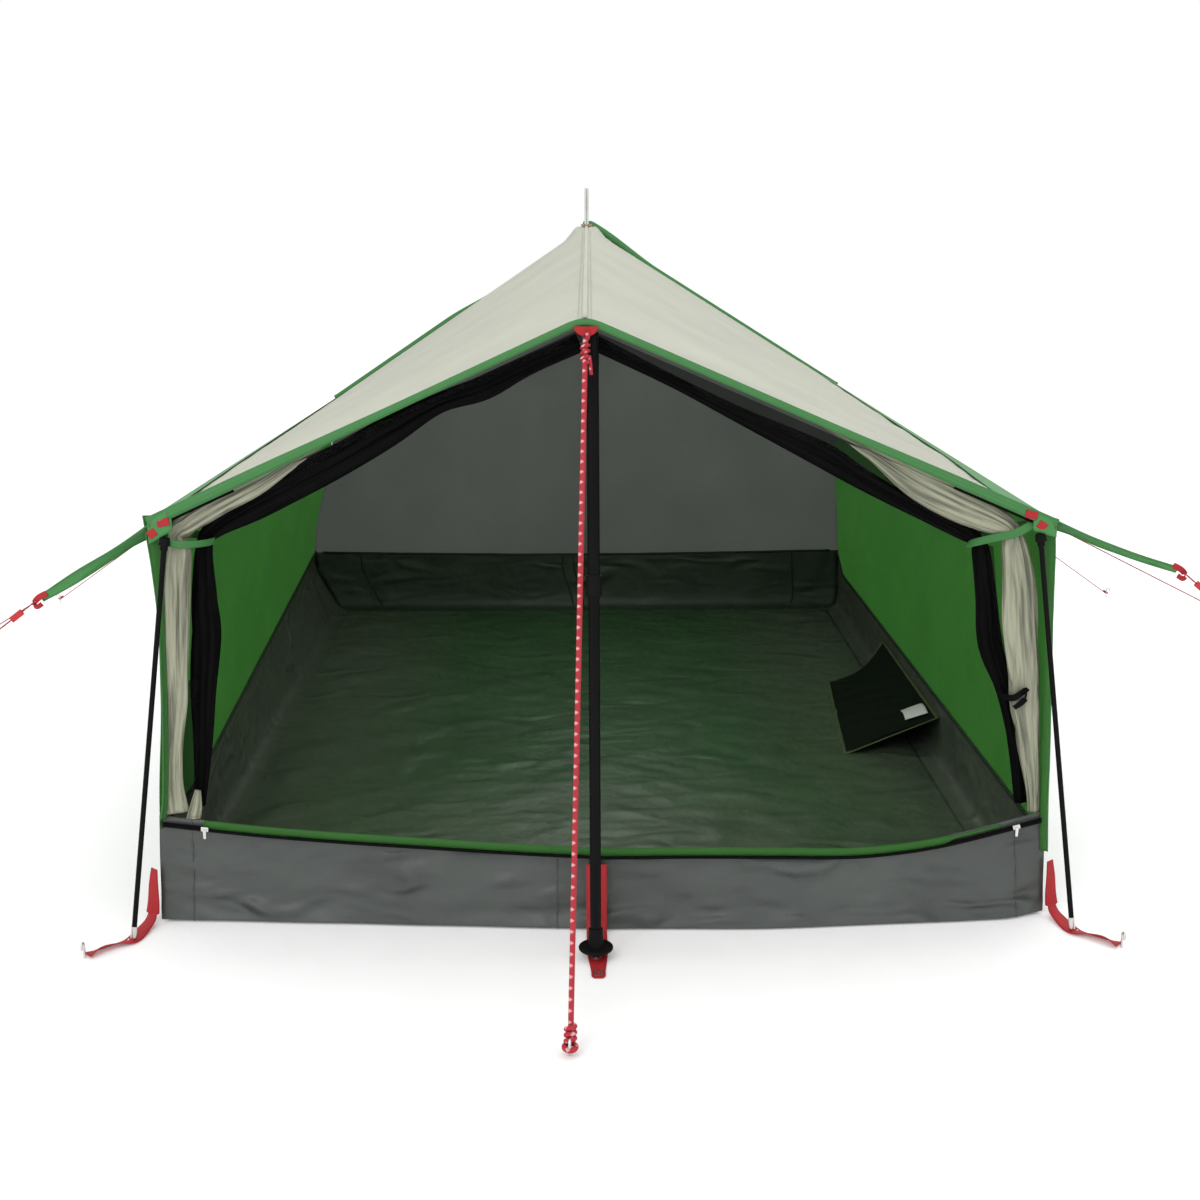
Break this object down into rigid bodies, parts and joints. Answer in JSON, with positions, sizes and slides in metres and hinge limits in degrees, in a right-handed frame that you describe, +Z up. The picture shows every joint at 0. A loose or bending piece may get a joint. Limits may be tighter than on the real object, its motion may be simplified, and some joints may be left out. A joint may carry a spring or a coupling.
{
  "type": "ridge tent",
  "caption": "Ridge tent pitched on trekking poles, front doors rolled back, with bathtub floor, mesh inner doors, corner struts and pegged guylines.",
  "frame": {"origin": "middle of the groundsheet, on the ground", "axes": "+Z up, -Y towards the open front, +X to the right seen from the front"},
  "size_m": [3.729, 2.815, 1.2162],
  "materials": {
    "roof_cream": "woven polyester, satin",
    "wall_green": "woven polyester, satin",
    "trim_green": "ribbed tape, matte",
    "tub_grey": "coated polyester, satin",
    "floor_green": "coated polyester, satin",
    "mesh_black": "fine mesh",
    "webbing_red": "woven webbing",
    "zip_black": "nylon coil",
    "pole_black": "black anodised, satin",
    "plastic_black": "moulded",
    "grip_rubber": "foam grip, matte",
    "steel": "plated steel",
    "brass": "aged brass",
    "line_red": "braided line",
    "rope_red": "braided rope, red and white",
    "plastic_red": "moulded"
  },
  "bodies": {
    "tent": {"apex_grommet": "brass", "bathtub_front": "tub_grey", "bathtub_left": "tub_grey", "bathtub_rear": "tub_grey", "bathtub_right": "tub_grey", "centre_webbing_front": "webbing_red", "centre_webbing_rear": "webbing_red", "corner_gussets": "wall_green", "corner_struts": "pole_black", "corner_webbing": "webbing_red", "door_sill_binding": "trim_green", "door_ties": "trim_green", "door_zipper": "zip_black", "eave_bands": "trim_green", "front_pole_top_cap": "plastic_black", "front_pole_upper_tube": "pole_black", "groundsheet": "floor_green", "guy_tabs": "trim_green", "guyline_corner_left": "line_red", "guyline_corner_right": "line_red", "guyline_front_rope": "rope_red", "guyline_pegs": "steel", "guyline_rear_left": "line_red", "guyline_rear_right": "line_red", "guyline_side_left": "line_red", "guyline_side_right": "line_red", "mesh_door_left": "mesh_black", "mesh_door_right": "mesh_black", "outer_door_left": "roof_cream", "outer_door_right": "roof_cream", "peak_patches": "webbing_red", "rear_door_zipper": "zip_black", "rear_pole_lower_tube": "pole_black", "rear_pole_spike": "steel", "rear_wall": "mesh_black", "ridge_piping": "roof_cream", "roof_bindings": "trim_green", "roof_left": "roof_cream", "roof_right": "roof_cream", "side_wall_left": "wall_green", "side_wall_right": "wall_green", "strut_caps": "plastic_black", "strut_ferrules": "steel", "webbing_grommets": "steel", "webbing_pegs": "steel"},
    "front_pole_lower": {"front_pole_lower_tube": "pole_black", "front_pole_basket": "plastic_black", "front_pole_tip": "steel"},
    "front_pole_lock": {"front_pole_lock_collar": "plastic_black"},
    "rear_pole_handle": {"rear_pole_grip": "grip_rubber", "rear_pole_upper_tube": "pole_black"},
    "rear_pole_lock": {"rear_pole_lock_collar": "plastic_black"},
    "zipper_slider_right": {"zipper_slider_right": "steel"},
    "zipper_slider_left": {"zipper_slider_left": "steel"},
    "zipper_pull_right": {"zipper_pull_right": "steel"},
    "zipper_pull_left": {"zipper_pull_left": "steel"},
    "gear_pocket": {"gear_pocket": "mesh_black"},
    "tensioner_right": {"tensioner_right": "plastic_red"},
    "tensioner_left": {"tensioner_left": "plastic_red"}
  },
  "joints": [
    {"name": "front_pole_slide", "type": "slide", "parent": "tent", "child": "front_pole_lower", "axis": [-0.002, 0.1583, 0.9874], "range_m": [0, 0.25]},
    {"name": "front_pole_twist_lock", "type": "hinge", "parent": "tent", "child": "front_pole_lock", "pos_m": [-0.01921, -1.10894, 0.59935], "axis": [-0.002, 0.1583, 0.9874], "range_deg": [0, 90]},
    {"name": "rear_pole_slide", "type": "slide", "parent": "tent", "child": "rear_pole_handle", "axis": [0, -0.2014, 0.9795], "range_m": [0, 0.25]},
    {"name": "rear_pole_twist_lock", "type": "hinge", "parent": "rear_pole_handle", "child": "rear_pole_lock", "pos_m": [0, 1.15926, 0.52894], "axis": [0, -0.2014, 0.9795], "range_deg": [0, 90]},
    {"name": "gear_pocket_lift", "type": "hinge", "parent": "tent", "child": "gear_pocket", "pos_m": [0.742, 0, 0.0975], "axis": [0, 1, 0], "range_deg": [0, 105]},
    {"name": "zipper_slide_right", "type": "slide", "parent": "tent", "child": "zipper_slider_right", "axis": [-0.9706, -0.0668, -0.2312], "range_m": [0, 0.06]},
    {"name": "zipper_pull_swing_right", "type": "hinge", "parent": "zipper_slider_right", "child": "zipper_pull_right", "pos_m": [0.69884, -1.06109, 0.16126], "axis": [-0.9976, -0.0687, 0], "range_deg": [0, 110]},
    {"name": "tensioner_slide_right", "type": "slide", "parent": "tent", "child": "tensioner_right", "axis": [0.7684, -0.0682, -0.6363], "range_m": [0, 0.3]},
    {"name": "zipper_slide_left", "type": "slide", "parent": "tent", "child": "zipper_slider_left", "axis": [0.9931, -0.0684, -0.0948], "range_m": [0, 0.06]},
    {"name": "zipper_pull_swing_left", "type": "hinge", "parent": "zipper_slider_left", "child": "zipper_pull_left", "pos_m": [-0.67091, -1.06301, 0.17035], "axis": [-0.9976, 0.0687, 0], "range_deg": [0, 110]},
    {"name": "tensioner_slide_left", "type": "slide", "parent": "tent", "child": "tensioner_left", "axis": [-0.7986, -0.0685, -0.598], "range_m": [0, 0.3]}
  ]
}
